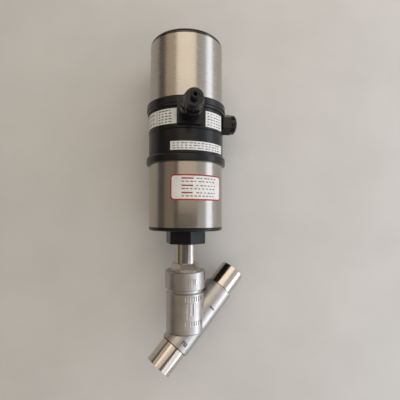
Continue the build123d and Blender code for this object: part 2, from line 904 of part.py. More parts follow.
with BuildPart() as head_cap:
    with BuildSketch(Plane.XZ):
        with BuildLine():
            side = Polyline(
                (0, shell_top + cap_h - cap_skin),
                (shell_bore_r - seat_fit - cap_wall, shell_top + cap_h - cap_skin),
                (shell_bore_r - seat_fit - cap_wall, shell_top - cap_spigot_h),
                (shell_bore_r - seat_fit, shell_top - cap_spigot_h),
                (shell_bore_r - seat_fit, shell_top),
                (cap_r, shell_top),
                (cap_r, shell_top + cap_h - cap_round),
            )
            dome = TangentArc(
                side @ 1, (cap_r - cap_round, shell_top + cap_h), tangent=(0, 1)
            )
            Polyline(dome @ 1, (0, shell_top + cap_h), (0, shell_top + cap_h - cap_skin))
        make_face()
    revolve(axis=Axis.Z)
    with BuildSketch(Plane.XY.offset(shell_top - cap_spigot_h + 1)):
        Circle(shell_bore_r + 1)
        Circle(shell_bore_r - seat_fit - o_ring, mode=Mode.SUBTRACT)
    extrude(amount=o_ring + 0.4, mode=Mode.SUBTRACT)

with BuildPart() as cap_o_ring:
    with BuildSketch(Plane.XZ):
        with Locations((shell_bore_r - seat_fit - o_r, shell_top - cap_spigot_h + 1.2 + o_r)):
            RegularPolygon(o_r, 8)
    revolve(axis=Axis.Z)

# ---------------------------------------------------------------- cable gland
nut_r = turret_r + gland_hex_w + nut_gap
nut_tip_r = nut_r + nut_len
nut_shoulder = nut_tip_r - nut_lid
barrel_r = gland_bore_r + 0.6
with BuildPart() as gland_body:
    with BuildSketch(radial(gland_dir, turret_r - gland_root)):
        Circle(gland_bore_r)
    extrude(amount=gland_root)
    with BuildSketch(radial(gland_dir, turret_r)):
        RegularPolygon(hex_r(gland_hex_af), 6)
    extrude(amount=gland_hex_w)
    with BuildSketch(radial(gland_dir, turret_r + gland_hex_w)):
        Circle(barrel_r)
    extrude(amount=nut_shoulder - turret_r - gland_hex_w - free_gap)
    with BuildSketch(radial(gland_dir, turret_r - gland_root)):
        Circle(insert_r + seat_fit)
    extrude(amount=nut_tip_r - turret_r + gland_root, mode=Mode.SUBTRACT)

with BuildPart() as gland_nut:
    with BuildSketch(radial(gland_dir, nut_r)):
        Circle(nut_od / 2)
    extrude(amount=nut_skirt)
    with BuildSketch(radial(gland_dir, nut_r + nut_skirt)):
        Circle(nut_od / 2)
    with BuildSketch(radial(gland_dir, nut_tip_r)):
        Circle(nut_rim_d / 2)
    loft()
    # grip grooves round the skirt
    with BuildSketch(radial(gland_dir, nut_r)):
        with PolarLocations(nut_od / 2 + rib_groove_r / 2, nut_ribs):
            Circle(rib_groove_r)
    extrude(amount=nut_skirt * 2, mode=Mode.SUBTRACT)
    with BuildSketch(radial(gland_dir, nut_r)):
        Circle(barrel_r + seat_fit)
    extrude(amount=nut_len - nut_lid, mode=Mode.SUBTRACT)
    with BuildSketch(radial(gland_dir, nut_shoulder)):
        Circle(insert_nose_r + seat_fit)
    extrude(amount=nut_lid, mode=Mode.SUBTRACT)
    with BuildSketch(radial(gland_dir, nut_tip_r - nut_recess)):
        Circle(insert_r)
    extrude(amount=nut_recess, mode=Mode.SUBTRACT)

with BuildPart() as gland_seal:
    with BuildSketch(radial(gland_dir, nut_shoulder - insert_len)):
        Circle(insert_r)
    extrude(amount=insert_len)
    with BuildSketch(radial(gland_dir, nut_shoulder)):
        Circle(insert_nose_r)
    extrude(amount=nut_lid + insert_nose_out)
    with BuildSketch(radial(gland_dir, nut_shoulder - insert_len)):
        Circle(cable_hole_r)
    extrude(amount=insert_len + nut_lid + insert_nose_out, mode=Mode.SUBTRACT)

# ---------------------------------------------------------------- air fittings
thread_root = bore_r - 1
with BuildPart() as supply_fitting:
    with BuildSketch(radial(supply_dir, thread_root)):
        Circle(fitting_thread_r)
    extrude(amount=fitting_root - thread_root)
    with BuildSketch(radial(supply_dir, fitting_root)):
        RegularPolygon(fitting_ac / 2, 6, rotation=30)
    extrude(amount=fitting_hex_end - fitting_root)
    with BuildSketch(radial(supply_dir, fitting_hex_end)):
        Circle(fitting_collar_d / 2)
    extrude(amount=fitting_tip - fitting_hex_end)
    rim = supply_fitting.edges().sort_by_distance((0, 0, port_z))[-1]
    chamfer(rim, fitting_bevel)
    with BuildSketch(radial(supply_dir, fitting_tip - collet_depth)):
        Circle(collet_r + run_fit)
    extrude(amount=collet_depth, mode=Mode.SUBTRACT)
    with BuildSketch(radial(supply_dir, thread_root)):
        Circle(hose_od / 2 - 1)
    extrude(amount=fitting_tip - thread_root, mode=Mode.SUBTRACT)

with BuildPart() as supply_collet:
    with BuildSketch(radial(supply_dir, fitting_tip - collet_depth + collet_travel + collet_end_gap)):
        Circle(collet_r)
        Circle(hose_od / 2 + run_fit, mode=Mode.SUBTRACT)
    extrude(amount=collet_depth - collet_travel - collet_end_gap + collet_out)

with BuildPart() as exhaust_fitting:
    with BuildSketch(radial(exhaust_dir, thread_root)):
        Circle(fitting_thread_r)
    extrude(amount=fitting_root - thread_root)
    with BuildSketch(radial(exhaust_dir, fitting_root)):
        RegularPolygon(fitting_ac / 2, 6, rotation=30)
    extrude(amount=exhaust_hex_w)
    with BuildSketch(radial(exhaust_dir, thread_root)):
        Circle(hose_od / 2)
    extrude(amount=fitting_root - thread_root + exhaust_hex_w, mode=Mode.SUBTRACT)

silencer_foot = fitting_root + exhaust_hex_w
with BuildPart() as exhaust_silencer:
    with BuildSketch(radial(exhaust_dir, silencer_foot - silencer_root)):
        Circle(hose_od / 2 - seat_fit)
    extrude(amount=silencer_root)
    with BuildSketch(radial(exhaust_dir, silencer_foot)):
        Circle(silencer_r)
    extrude(amount=silencer_len)
    silencer_tip = exhaust_silencer.edges().filter_by(GeomType.CIRCLE).filter_by(
        lambda e: abs(e.radius - silencer_r) < 0.01
    ).sort_by_distance((0, 0, port_z))[-1]
    fillet(silencer_tip, silencer_round)

# ---------------------------------------------------------------- inside the head
# the chassis disc lies on the same step as the shell, inside it
chassis_z = shell_seat_z
chassis_top = chassis_z + chassis_t
chassis_r = shell_bore_r - chassis_gap
with BuildPart() as head_chassis:
    with BuildSketch(head_plane(chassis_z)):
        Circle(chassis_r)
        Circle(rod_r + free_gap, mode=Mode.SUBTRACT)
        with Locations((0, -chassis_r)):
            Rectangle(chassis_slot_w, chassis_slot_d * 2, mode=Mode.SUBTRACT)
    extrude(amount=chassis_t)
    with BuildSketch(head_plane(chassis_top)):
        with Locations((0, mast_y)):
            Rectangle(mast_w, mast_t)
    extrude(amount=mast_h)

board_z = chassis_top + board_gap
with BuildPart() as circuit_board:
    with BuildSketch(head_plane(board_z)):
        with Locations((0, mast_y - mast_t / 2 - board_t / 2)):
            Rectangle(mast_w - board_gap, board_t)
    extrude(amount=mast_h - 2 * board_gap)

with BuildPart() as terminal_block:
    block_y = mast_y + mast_t / 2 + block_d / 2
    block_top = board_z + block_rise + block_h
    with BuildSketch(head_plane(board_z + block_rise)):
        with Locations((0, block_y)):
            Rectangle(block_w, block_d)
    extrude(amount=block_h)
    with BuildSketch(head_plane(block_top - slot_depth)):
        with Locations((0, block_y + block_d / 8)):
            with GridLocations(slot_pitch, 1, slot_count, 1):
                Rectangle(slot_w, slot_l)
    extrude(amount=slot_depth, mode=Mode.SUBTRACT)

sensor_h = rod_top + target_h + stroke + sensor_reserve - chassis_top
with BuildPart() as position_sensor:
    with BuildSketch(head_plane(chassis_top)):
        Circle(sensor_r)
        Circle(target_r + free_gap, mode=Mode.SUBTRACT)
    extrude(amount=sensor_h)
    with BuildSketch(head_plane(chassis_top + sensor_h)):
        Circle(sensor_r)
    extrude(amount=sensor_lid)
    fillet(position_sensor.edges().group_by(Axis.Z)[-1], sensor_round)

pilot_top = chassis_top + pilot_h
with BuildPart() as pilot_valve:
    with BuildSketch(head_plane(chassis_top)):
        with Locations((pilot_x, 0)):
            Rectangle(pilot_w - 1, pilot_d)
    extrude(amount=pilot_h)
    with BuildSketch(head_plane(pilot_top - armature_seat)):
        with Locations((pilot_x, 0)):
            Circle(armature_r + run_fit)
    extrude(amount=armature_seat, mode=Mode.SUBTRACT)
    # blind hole for the manual override, in the side that faces the gland
    override_plane = Plane(
        origin=head_plane(chassis_top + override_rise).from_local_coords(Vector(pilot_x, -pilot_d / 2, 0)),
        x_dir=head_plane(0).x_dir,
        z_dir=-head_plane(0).y_dir,
    )
    with BuildSketch(override_plane):
        Circle(override_r + run_fit)
    extrude(amount=-override_hole, mode=Mode.SUBTRACT)

with BuildPart() as pilot_override:
    with BuildSketch(override_plane.offset(override_out - override_len)):
        Circle(override_r)
    extrude(amount=override_len)
    with BuildSketch(override_plane.offset(override_out - override_slot_depth)):
        Rectangle(override_r * 3, override_slot)
    extrude(amount=override_slot_depth, mode=Mode.SUBTRACT)

coil_top = pilot_top + coil_h
with BuildPart() as pilot_coil:
    with BuildSketch(head_plane(pilot_top)):
        with Locations((pilot_x, 0)):
            Circle(coil_r)
            Circle(armature_r + run_fit, mode=Mode.SUBTRACT)
    extrude(amount=coil_h - coil_lid)
    with BuildSketch(head_plane(coil_top - coil_lid)):
        with Locations((pilot_x, 0)):
            Circle(coil_r)
    extrude(amount=coil_lid)

armature_foot = pilot_top - armature_seat + armature_gap
with BuildPart() as pilot_armature:
    with BuildSketch(head_plane(armature_foot)):
        with Locations((pilot_x, 0)):
            Circle(armature_r)
    extrude(amount=coil_top - coil_lid - armature_travel - armature_gap - armature_foot)

guide_ring_z = shell_top - cap_spigot_h - guide_ring_low
guide_ring_r = shell_bore_r - cap_wall - guide_ring_gap
with BuildPart() as light_guide:
    with BuildSketch(Plane.XY.offset(guide_ring_z)):
        Circle(guide_ring_r)
        Circle(guide_ring_r - guide_ring_w, mode=Mode.SUBTRACT)
    extrude(amount=shell_top + guide_ring_out - guide_ring_z)
    # two feet that clip on the mast
    foot_x = (mast_w - guide_foot_w) / 2
    with BuildSketch(head_plane(chassis_top + mast_h)):
        with Locations((foot_x, mast_y), (-foot_x, mast_y)):
            Rectangle(guide_foot_w, mast_t)
    extrude(amount=guide_ring_z - chassis_top - mast_h + guide_ring_w / 3)

with BuildPart() as pilot_screws:
    with BuildSketch(head_plane(chassis_z - screw_h)):
        with Locations((pilot_x - screw_x, screw_y), (pilot_x + screw_x, -screw_y)):
            Circle(screw_r)
    extrude(amount=screw_h)

# ---------------------------------------------------------------- export
os.makedirs("parts", exist_ok=True)
pieces = {
    "valve_body": valve_body,
    **weld_tubes,
    "body_gasket": body_gasket,
    "bonnet_nipple": bonnet_nipple,
    "bonnet_tube": bonnet_tube,
    "tube_circlip": tube_circlip,
    "support_ring": support_ring,
    "packing_spring": packing_spring,
    "pressure_ring": pressure_ring,
    "packing_rings": packing_rings,
    "spindle_guide": spindle_guide,
    "spindle_wiper": spindle_wiper,
    "spindle": spindle,
    "plug_plate": plug_plate,
    "seat_seal": seat_seal,
    "seal_retainer": seal_retainer,
    "plug_pin": plug_pin,
    "piston": piston,
    "piston_seal": piston_seal,
    "piston_guide_ring": piston_guide_ring,
    "piston_nut": piston_nut,
    "position_rod": position_rod,
    "sensor_target": sensor_target,
    "actuator_base": actuator_base,
    "swivel_o_ring": swivel_o_ring,
    "sleeve_o_ring_lower": sleeve_o_ring_lower,
    "actuator_sleeve": actuator_sleeve,
    "actuator_cover": actuator_cover,
    "sleeve_o_ring_upper": sleeve_o_ring_upper,
    "closing_spring_outer": closing_spring_outer,
    "closing_spring_inner": closing_spring_inner,
    "head_base": head_base,
    "head_o_ring": head_o_ring,
    "head_shell": head_shell,
    "head_cap": head_cap,
    "cap_o_ring": cap_o_ring,
    "gland_body": gland_body,
    "gland_nut": gland_nut,
    "gland_seal": gland_seal,
    "supply_fitting": supply_fitting,
    "supply_collet": supply_collet,
    "exhaust_fitting": exhaust_fitting,
    "exhaust_silencer": exhaust_silencer,
    "head_chassis": head_chassis,
    "circuit_board": circuit_board,
    "terminal_block": terminal_block,
    "position_sensor": position_sensor,
    "pilot_valve": pilot_valve,
    "pilot_override": pilot_override,
    "pilot_coil": pilot_coil,
    "pilot_armature": pilot_armature,
    "pilot_screws": pilot_screws,
    "light_guide": light_guide,
}
for piece_name, piece in pieces.items():
    piece.part.label = piece_name
    export_step(piece.part, f"parts/{piece_name}.step")
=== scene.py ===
import json
from math import cos, pi, radians, sin, sqrt

import bmesh
import bpy
from mathutils import Matrix, Vector


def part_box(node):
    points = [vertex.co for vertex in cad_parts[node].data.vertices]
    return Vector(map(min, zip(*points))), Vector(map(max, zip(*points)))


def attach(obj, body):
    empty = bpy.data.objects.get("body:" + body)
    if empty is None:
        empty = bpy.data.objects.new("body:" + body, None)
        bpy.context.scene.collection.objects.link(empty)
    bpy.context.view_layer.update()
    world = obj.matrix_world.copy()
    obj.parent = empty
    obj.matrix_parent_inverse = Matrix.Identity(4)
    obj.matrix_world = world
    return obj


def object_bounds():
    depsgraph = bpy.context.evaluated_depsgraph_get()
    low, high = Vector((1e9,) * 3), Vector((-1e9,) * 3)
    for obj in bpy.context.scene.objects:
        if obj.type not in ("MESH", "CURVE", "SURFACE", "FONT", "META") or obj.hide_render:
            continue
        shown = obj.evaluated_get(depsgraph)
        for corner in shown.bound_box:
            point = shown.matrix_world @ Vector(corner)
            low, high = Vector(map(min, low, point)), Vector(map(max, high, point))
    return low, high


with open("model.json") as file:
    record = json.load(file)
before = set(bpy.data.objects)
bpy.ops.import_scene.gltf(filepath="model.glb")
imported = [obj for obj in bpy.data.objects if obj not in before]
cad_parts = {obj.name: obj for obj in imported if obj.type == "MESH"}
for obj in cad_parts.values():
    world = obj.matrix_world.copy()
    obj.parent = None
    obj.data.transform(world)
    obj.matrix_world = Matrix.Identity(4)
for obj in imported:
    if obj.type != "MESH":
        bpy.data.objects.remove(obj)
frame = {"nodes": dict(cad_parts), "record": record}
cad_low, cad_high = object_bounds()
nodes = frame["nodes"]

# An angle seat valve with weld ends, a piston actuator in a steel sleeve and a control head.
# The stem stands on +Z through the origin, and the pipe crosses it at 45 degrees in the XZ plane.
mm = 0.001

# ---------------------------------------------------------------- directions about the stem
camera_side = radians(-116.1)     # where the camera stands
pipe_out = Vector((sin(pi / 4), 0, cos(pi / 4)))     # up the pipe, towards port 1


def around(angle, radius, height=0.0):
    """A point at an angle about the stem."""
    return Vector((radius * cos(angle), radius * sin(angle), height))


# ---------------------------------------------------------------- materials
def linear(hex_colour):
    """The linear colour of an sRGB hex value."""
    channels = [int(hex_colour[i:i + 2], 16) / 255 for i in (1, 3, 5)]
    flat = [c / 12.92 if c <= 0.04045 else ((c + 0.055) / 1.055) ** 2.4 for c in channels]
    return (*flat, 1.0)


def add(tree, kind, inputs=(), **settings):
    """Add a node: its properties first, then a value or a link for each input named."""
    node = tree.nodes.new(kind)
    for name, value in settings.items():
        setattr(node, name, value)
    for key, value in dict(inputs).items():
        if isinstance(value, bpy.types.NodeSocket):
            tree.links.new(value, node.inputs[key])
        else:
            node.inputs[key].default_value = value
    return node


def start_finish(name, numbers):
    """A new material with its shader, and the piece's own coordinates in metres."""
    material = bpy.data.materials.new(name)
    material.use_nodes = True
    tree = material.node_tree
    shader = tree.nodes["Principled BSDF"]
    for key, value in numbers.items():
        shader.inputs[key].default_value = value
    coords = add(tree, "ShaderNodeTexCoord").outputs["Object"]
    return material, tree, shader, coords


def stretched(tree, coords, scale):
    """Coordinates scaled by axis, so that a pattern drawn on them is long where the scale is small."""
    return add(tree, "ShaderNodeMapping", {"Vector": coords, "Scale": scale}).outputs["Vector"]


def mottle(tree, coords, size, detail=3.0):
    """A soft random pattern from 0 to 1, with blotches of about a size in millimetres."""
    inputs = {"Vector": coords, "Scale": 1 / (size * mm), "Detail": detail, "Roughness": 0.55}
    return add(tree, "ShaderNodeTexNoise", inputs).outputs["Fac"]


def spread(tree, pattern, low, high, start=0.3, end=0.7):
    """A pattern turned into numbers from low to high."""
    inputs = {"Value": pattern, "From Min": start, "From Max": end, "To Min": low, "To Max": high}
    return add(tree, "ShaderNodeMapRange", inputs).outputs["Result"]


def blend_colours(tree, pattern, first, second):
    """Two sRGB colours mixed by a pattern. A Mix node takes colours at its inputs 6 and 7."""
    inputs = {0: pattern, 6: linear(first), 7: linear(second)}
    return add(tree, "ShaderNodeMix", inputs, data_type="RGBA").outputs[2]


def paint(tree, shader, pattern, first, second):
    """Colour the surface with two sRGB colours mixed by a pattern."""
    colour = blend_colours(tree, spread(tree, pattern, 0, 1), first, second)
    tree.links.new(colour, shader.inputs["Base Color"])


def relief(tree, shader, pattern, depth, strength):
    """Let a pattern stand out of the surface by a depth in millimetres."""
    inputs = {"Height": pattern, "Distance": depth * mm, "Strength": strength}
    tree.links.new(add(tree, "ShaderNodeBump", inputs).outputs["Normal"], shader.inputs["Normal"])


def brushed_steel(name, light, dark, shine):
    """Stainless sheet, belt brushed round: fine level lines that draw its reflections out in height.

    The lines are coarser than the real ones, so that they show at this size."""
    material, tree, shader, coords = start_finish(name, {"Metallic": 1.0})
    round_it = stretched(tree, coords, (0.02, 0.02, 1))
    hairlines = mottle(tree, round_it, 0.35, 4.0)
    worn = mottle(tree, coords, 30.0)
    paint(tree, shader, hairlines, dark, light)
    rough = add(tree, "ShaderNodeMath", {0: spread(tree, hairlines, shine - 0.03, shine + 0.03),
                                         1: spread(tree, worn, -0.02, 0.03)}, operation="ADD")
    tree.links.new(rough.outputs[0], shader.inputs["Roughness"])
    relief(tree, shader, hairlines, 0.01, 0.05)
    return material


def polished_tube():
    """Welded stainless tube, polished: near mirror, with faint drawing lines along the pipe."""
    material, tree, shader, coords = start_finish("polished_stainless_tube", {"Metallic": 1.0})
    turn = add(tree, "ShaderNodeMapping", {"Vector": coords, "Rotation": (0, -pi / 4, 0)}).outputs["Vector"]
    along = stretched(tree, turn, (1, 1, 0.02))
    lines = mottle(tree, along, 0.6, 4.0)
    paint(tree, shader, lines, "#c4bdb4", "#d8d2ca")
    tree.links.new(spread(tree, lines, 0.13, 0.21), shader.inputs["Roughness"])
    relief(tree, shader, lines, 0.01, 0.2)
    return material


def turned_steel():
    """Stainless bar, turned on a lathe: fine rings round the stem and a bright shine."""
    material, tree, shader, coords = start_finish("turned_stainless_bar", {"Metallic": 1.0})
    rings = mottle(tree, stretched(tree, coords, (0.03, 0.03, 1)), 0.3, 3.0)
    paint(tree, shader, rings, "#b9b2aa", "#d0cac2")
    tree.links.new(spread(tree, rings, 0.10, 0.18), shader.inputs["Roughness"])
    relief(tree, shader, rings, 0.01, 0.3)
    return material


def blasted_casting():
    """Investment-cast stainless, bead blasted: a close pimpled skin that gives a soft satin."""
    material, tree, shader, coords = start_finish("bead_blasted_cast_stainless", {"Metallic": 1.0})
    pits = mottle(tree, coords, 0.5, 5.0)
    clouds = mottle(tree, coords, 9.0)
    paint(tree, shader, clouds, "#b0adaa", "#c2bfbc")
    tree.links.new(spread(tree, pits, 0.32, 0.42), shader.inputs["Roughness"])
    relief(tree, shader, pits, 0.06, 0.5)
    return material


def moulded_plastic(name, light, dark, shine, grain, depth):
    """Moulded plastic, rubber or resin: a fine grain from the mould, and a faint cloudiness.

    One IOR serves them all. It is a little below polyamide's, which keeps the blacks deep."""
    material, tree, shader, coords = start_finish(name, {"IOR": 1.42})
    skin = mottle(tree, coords, grain, 4.0)
    clouds = mottle(tree, coords, 14.0)
    paint(tree, shader, clouds, dark, light)
    tree.links.new(spread(tree, skin, shine - 0.05, shine + 0.06), shader.inputs["Roughness"])
    relief(tree, shader, skin, depth, 0.5)
    return material


def clear_plastic(name, light, dark, clearness, shine):
    """Clear or smoked plastic, moulded: glossy, with the slight waviness of a moulded face."""
    material, tree, shader, coords = start_finish(name, {"IOR": 1.58, "Transmission Weight": clearness})
    waves = mottle(tree, coords, 8.0)
    paint(tree, shader, waves, dark, light)
    tree.links.new(spread(tree, waves, shine - 0.03, shine + 0.04), shader.inputs["Roughness"])
    relief(tree, shader, waves, 0.01, 0.2)
    return material


def label_vinyl(name, light, dark):
    """Printed vinyl film: matt, slightly uneven in colour, with a faint orange peel from its glue."""
    material, tree, shader, coords = start_finish(name, {"IOR": 1.46})
    clouds = mottle(tree, coords, 6.0)
    paint(tree, shader, clouds, dark, light)
    tree.links.new(spread(tree, clouds, 0.42, 0.55), shader.inputs["Roughness"])
    relief(tree, shader, clouds, 0.02, 0.3)
    return material


def plain_metal(name, light, dark, shine, grain):
    """Small metal parts, and metal marks painted light as highlight or dark as shade: an even grain and a
    shine of their own.
    """
    material, tree, shader, coords = start_finish(name, {"Metallic": 1.0})
    skin = mottle(tree, coords, grain, 4.0)
    paint(tree, shader, skin, dark, light)
    tree.links.new(spread(tree, skin, shine - 0.06, shine + 0.06), shader.inputs["Roughness"])
    relief(tree, shader, skin, 0.02, 0.4)
    return material


finishes = {
    "cast_steel": blasted_casting(),
    "tube_steel": polished_tube(),
    "turned_steel": turned_steel(),
    "sleeve_steel": brushed_steel("brushed_stainless_sleeve", "#b7b1a8", "#b0aaa1", 0.21),
    "shell_steel": brushed_steel("brushed_stainless_cover", "#bcb6ad", "#b5afa6", 0.25),
    "spring_steel": plain_metal("drawn_spring_wire", "#a8a8aa", "#8c8c90", 0.34, 0.4),
    "black_plastic": moulded_plastic(
        "black_glass_filled_polyamide", "#121417", "#0c0d0f", 0.27, 0.35, 0.01),
    "fitting_plastic": moulded_plastic("black_gloss_polyamide", "#101215", "#0a0b0d", 0.22, 0.6, 0.01),
    "smoked_cap": clear_plastic("smoked_polycarbonate", "#352822", "#2c211c", 0.25, 0.14),
    "ptfe": moulded_plastic("filled_ptfe", "#e2e0da", "#d2d0ca", 0.45, 0.8, 0.01),
    "guide_plastic": moulded_plastic("bearing_peek", "#a08f70", "#8c7c60", 0.42, 0.8, 0.01),
    "elastomer": moulded_plastic("black_fkm_rubber", "#202020", "#161616", 0.60, 0.5, 0.02),
    "graphite": moulded_plastic("pressed_graphite", "#4c4c50", "#3a3a3e", 0.38, 0.5, 0.03),
    "piston_alloy": plain_metal("turned_aluminium", "#dcdde0", "#c6c8cc", 0.28, 0.5),
    "grey_plastic": moulded_plastic("grey_polyamide", "#74777a", "#66696c", 0.45, 0.4, 0.02),
    "clear_plastic": clear_plastic("clear_acrylic", "#e4e9eb", "#d8dddf", 0.9, 0.08),
    "board": moulded_plastic("green_solder_mask", "#1d6b3c", "#175a32", 0.30, 1.0, 0.01),
    "coil": moulded_plastic("potted_coil", "#2b2b30", "#202024", 0.35, 0.8, 0.01),
    "iron": plain_metal("plated_magnetic_steel", "#9c9c9f", "#86868a", 0.32, 0.4),
    "bronze": plain_metal("sintered_bronze", "#b08a50", "#8e6c3a", 0.50, 0.3),
}
for row in frame["record"]["subparts"]:
    mesh = nodes[row["node"]].data
    mesh.materials.clear()
    mesh.materials.append(finishes[row["material_slot"]])

white_vinyl = label_vinyl("white_label_vinyl", "#e9e9e6", "#dcdcd8")
red_vinyl = label_vinyl("red_label_print", "#b0303a", "#98242e")
grey_print = label_vinyl("grey_label_print", "#66686d", "#56585d")
# finish of the raised strokes, painted lighter than the casting: painted highlight on them
painted_highlight_metal = plain_metal("worn_cast_lettering", "#dad7d4", "#c8c5c2", 0.24, 0.4)
# dark metal as painted shade: on the weld steps and on the port numbers
painted_shade_metal = plain_metal("heat_tinted_weld", "#4a4038", "#332c28", 0.35, 0.4)


# ---------------------------------------------------------------- making pieces
same_point = mm / 1000         # corners closer than this are one
sharp_angle = radians(35)      # a bend past this stays a sharp edge


def make_piece(name, vertices, faces, finish, body):
    """A mesh piece in the row frame that rides on a body."""
    mesh = bpy.data.meshes.new(name)
    mesh.from_pydata(vertices, [], faces)
    mesh.validate()
    made = bmesh.new()
    made.from_mesh(mesh)
    bmesh.ops.remove_doubles(made, verts=made.verts, dist=same_point)
    bmesh.ops.recalc_face_normals(made, faces=made.faces)
    made.to_mesh(mesh)
    made.free()
    mesh.shade_smooth()
    mesh.set_sharp_from_angle(angle=sharp_angle)
    mesh.materials.append(finish)
    piece = bpy.data.objects.new(name, mesh)
    bpy.context.scene.collection.objects.link(piece)
    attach(piece, body)
    return piece


def curved_plate(name, radius, span, levels, thickness, corner, finish, body):
    """A thin plate, wrapped on a cylinder about the stem, with corners of a radius, or square at 0."""
    start, end = (radians(a) for a in span)
    low, high = (level * mm for level in levels)
    reach = radius * mm
    length = (end - start) * reach
    bend = corner * mm
    facet = 1.5 * mm
    corner_steps = 6 if corner else 0
    flat_steps = max(2, round(length / facet))
    corner_columns = [bend * (1 - cos(pi / 2 * i / corner_steps)) for i in range(corner_steps)]
    flat_columns = [bend + (length - 2 * bend) * i / flat_steps for i in range(flat_steps + 1)]
    columns = corner_columns + flat_columns + [length - d for d in reversed(corner_columns)]
    vertices, faces = [], []
    for d in columns:
        near = min(d, length - d, bend)
        inset = bend - sqrt(max(0.0, bend ** 2 - (bend - near) ** 2))
        angle = start + d / reach
        lower, upper = low + inset, high - inset
        for level, depth in ((lower, 0.0), (upper, 0.0), (upper, thickness), (lower, thickness)):
            vertices.append(around(angle, reach + depth * mm, level))
    for column in range(len(columns) - 1):
        a = column * 4
        b = a + 4
        faces += [(a + i, a + (i + 1) % 4, b + (i + 1) % 4, b + i) for i in range(4)]
    faces += [(0, 1, 2, 3), tuple(len(vertices) - 4 + i for i in (3, 2, 1, 0))]
    return make_piece(name, vertices, faces, finish, body)


def turned_piece(name, profile, finish, body, axis=Vector((0, 0, 1))):
    """A closed profile of (radius, height) points in millimetres, turned about an axis.

    The axis runs through the origin."""
    steps = 96
    lean = axis.to_track_quat("Z", "Y").to_matrix()
    vertices = [lean @ around(2 * pi * i / steps, radius * mm, height * mm)
                for i in range(steps) for radius, height in profile]
    count = len(profile)
    faces = []
    for i in range(steps):
        a = i * count
        b = (i + 1) % steps * count
        faces += [(a + k, a + (k + 1) % count, b + (k + 1) % count, b + k) for k in range(count)]
    return make_piece(name, vertices, faces, finish, body)


def raised_strokes(name, radius, strokes, height, finish, body):
    """Raised strokes on the pipe run, half sunk in it.

    Each covers the pipe between two places along it and two angles from its near side."""
    belly = Vector((pipe_out.z, 0, -pipe_out.x))
    vertices, faces = [], []
    steps = 6
    inner, outer = radius - height, radius + height
    for low, high, start, end in strokes:
        first = len(vertices)
        for i in range(steps + 1):
            angle = radians(start + (end - start) * i / steps)
            out = Vector((0, -cos(angle), 0)) + belly * sin(angle)
            for place, reach in ((low, inner), (high, inner), (high, outer), (low, outer)):
                vertices.append((pipe_out * place + out * reach) * mm)
        for i in range(steps):
            a = first + i * 4
            faces += [(a + k, a + (k + 1) % 4, a + 4 + (k + 1) % 4, a + 4 + k) for k in range(4)]
        faces += [tuple(first + k for k in range(4)), tuple(first + steps * 4 + k for k in (3, 2, 1, 0))]
    return make_piece(name, vertices, faces, finish, body)


# ---------------------------------------------------------------- rows of small bars, bent on a cylinder
def bar_rows_tree():
    """Geometry Nodes: rows of small bars of uneven length, wrapped on a cylinder about the stem."""
    tree = bpy.data.node_groups.new("bar_rows", "GeometryNodeTree")
    sockets = (
        ("Rows", "NodeSocketInt"), ("Columns", "NodeSocketInt"),
        ("Row Pitch", "NodeSocketFloat"), ("Column Pitch", "NodeSocketFloat"),
        ("Bar Length", "NodeSocketFloat"), ("Bar Height", "NodeSocketFloat"),
        ("Bar Depth", "NodeSocketFloat"), ("Shortest", "NodeSocketFloat"),
        ("Radius", "NodeSocketFloat"), ("Start Angle", "NodeSocketFloat"),
        ("Level", "NodeSocketFloat"), ("Seed", "NodeSocketInt"), ("Finish", "NodeSocketMaterial"),
    )
    for name, kind in sockets:
        tree.interface.new_socket(name, in_out="INPUT", socket_type=kind)
    tree.interface.new_socket("Geometry", in_out="OUTPUT", socket_type="NodeSocketGeometry")
    given = add(tree, "NodeGroupInput").outputs

    def calc(operation, *values):
        return add(tree, "ShaderNodeMath", dict(enumerate(values)), operation=operation).outputs[0]

    last_column = calc("SUBTRACT", given["Columns"], 1.0)
    last_row = calc("SUBTRACT", given["Rows"], 1.0)
    width = calc("MULTIPLY", last_column, given["Column Pitch"])
    grid = add(tree, "GeometryNodeMeshGrid", {
        "Size X": width,
        "Size Y": calc("MULTIPLY", last_row, given["Row Pitch"]),
        "Vertices X": given["Columns"], "Vertices Y": given["Rows"]})
    size = add(tree, "ShaderNodeCombineXYZ", {
        0: given["Bar Length"], 1: given["Bar Height"], 2: given["Bar Depth"]})
    cuts = 8      # vertices along a bar, which let it bend
    bar = add(tree, "GeometryNodeMeshCube", {"Size": size.outputs[0], "Vertices X": cuts})
    half = add(tree, "ShaderNodeCombineXYZ", {0: calc("MULTIPLY", given["Bar Length"], 0.5)})
    from_left = add(tree, "GeometryNodeTransform", {
        "Geometry": bar.outputs["Mesh"], "Translation": half.outputs[0]})
    share = add(tree, "FunctionNodeRandomValue", {
        2: given["Shortest"], 3: 1.0, 8: given["Seed"]}, data_type="FLOAT")
    scale = add(tree, "ShaderNodeCombineXYZ", {0: share.outputs[1], 1: 1.0, 2: 1.0})
    bars = add(tree, "GeometryNodeInstanceOnPoints", {
        "Points": grid.outputs["Mesh"], "Instance": from_left.outputs["Geometry"],
        "Scale": scale.outputs[0]})
    real = add(tree, "GeometryNodeRealizeInstances", {"Geometry": bars.outputs["Instances"]})
    position = add(tree, "GeometryNodeInputPosition").outputs[0]
    spot = add(tree, "ShaderNodeSeparateXYZ", {0: position}).outputs
    run = calc("ADD", spot[0], calc("MULTIPLY", width, 0.5))
    angle = calc("ADD", calc("DIVIDE", run, given["Radius"]), given["Start Angle"])
    reach = calc("ADD", spot[2], given["Radius"])
    bent = add(tree, "ShaderNodeCombineXYZ", {
        0: calc("MULTIPLY", reach, calc("COSINE", angle)),
        1: calc("MULTIPLY", reach, calc("SINE", angle)),
        2: calc("ADD", spot[1], given["Level"])})
    wrapped = add(tree, "GeometryNodeSetPosition", {
        "Geometry": real.outputs[0], "Position": bent.outputs[0]})
    finished = add(tree, "GeometryNodeSetMaterial", {
        "Geometry": wrapped.outputs[0], "Material": given["Finish"]})
    add(tree, "NodeGroupOutput", {"Geometry": finished.outputs[0]})
    return tree


bar_rows = bar_rows_tree()


